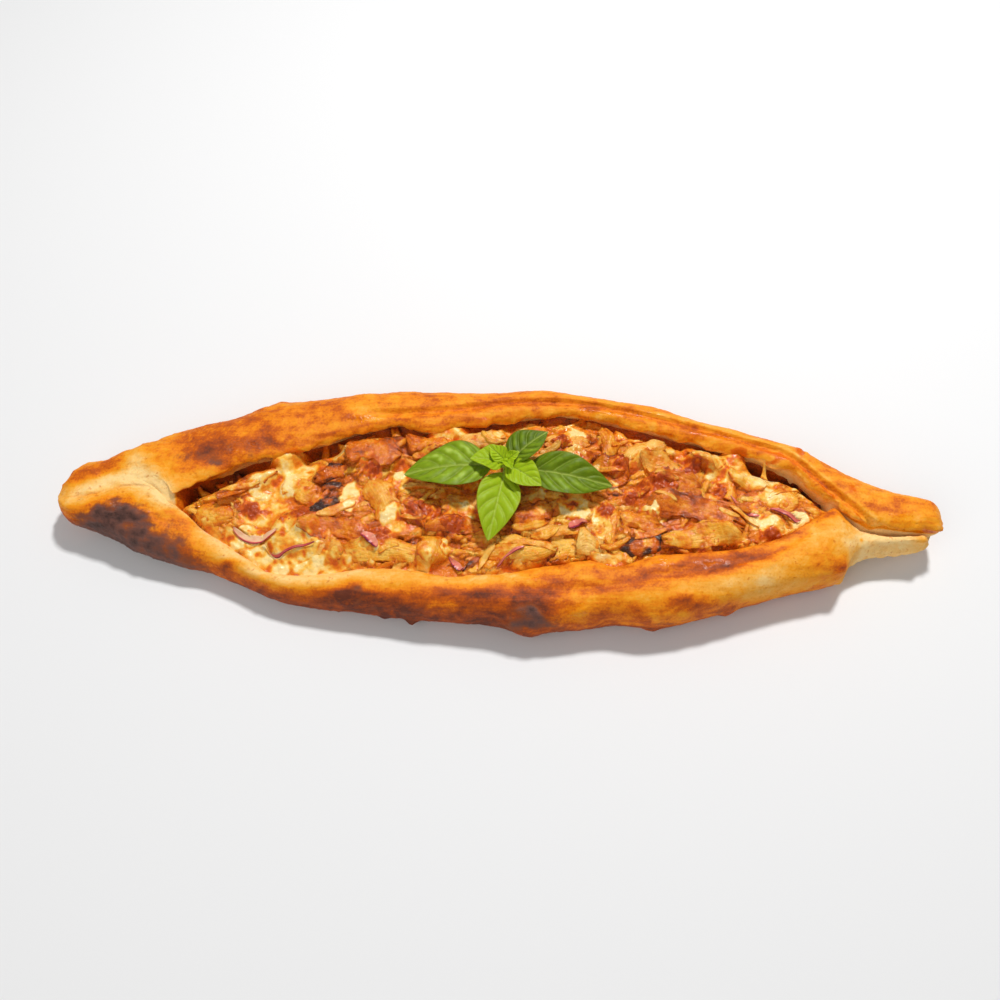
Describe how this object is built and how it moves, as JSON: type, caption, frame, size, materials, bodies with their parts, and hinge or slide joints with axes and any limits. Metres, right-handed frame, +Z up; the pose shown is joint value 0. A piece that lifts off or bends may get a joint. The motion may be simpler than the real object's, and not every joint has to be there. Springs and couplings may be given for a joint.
{
  "type": "turkish pide",
  "caption": "Long boat of baked dough, its sides folded in over melted cheese with roast chicken slices, red onion and a basil sprig.",
  "frame": {"origin": "under the middle of the part's box, on the surface it rests on", "axes": "+X along the boat towards the two-pronged end, +Y across it towards the higher, broader rim, +Z up"},
  "size_m": [0.396, 0.1205, 0.0402],
  "materials": {
    "crust": "baked dough, golden with brown and charred spots, satin",
    "cheese": "melted cheese, cream with toasted orange-brown blisters and red-orange sauce, glossy",
    "chicken": "roast chicken, golden to dark brown, fibrous and slightly oily",
    "onion": "cooked red onion, translucent pink to purple",
    "basil": "fresh basil leaf, bright green, satin with veins"
  },
  "bodies": {
    "root": {"crust": "crust", "cheese_bed": "cheese", "chicken_01": "chicken", "chicken_02": "chicken", "chicken_03": "chicken", "chicken_04": "chicken", "chicken_05": "chicken", "chicken_06": "chicken", "chicken_07": "chicken", "chicken_08": "chicken", "chicken_09": "chicken", "chicken_10": "chicken", "chicken_11": "chicken", "chicken_12": "chicken", "chicken_13": "chicken", "chicken_14": "chicken", "chicken_15": "chicken", "chicken_16": "chicken", "chicken_17": "chicken", "chicken_18": "chicken", "chicken_19": "chicken", "chicken_20": "chicken", "chicken_21": "chicken", "chicken_22": "chicken", "chicken_23": "chicken", "chicken_24": "chicken", "chicken_25": "chicken", "chicken_26": "chicken", "chicken_27": "chicken", "chicken_28": "chicken", "chicken_29": "chicken", "chicken_30": "chicken", "chicken_31": "chicken", "chicken_32": "chicken", "chicken_33": "chicken", "chicken_34": "chicken", "chicken_35": "chicken", "chicken_36": "chicken", "chicken_37": "chicken", "chicken_38": "chicken", "chicken_39": "chicken", "onion_01": "onion", "onion_02": "onion", "onion_03": "onion", "onion_04": "onion", "onion_05": "onion", "onion_06": "onion", "onion_07": "onion", "onion_08": "onion", "basil_sprig": "basil"}
  },
  "joints": []
}
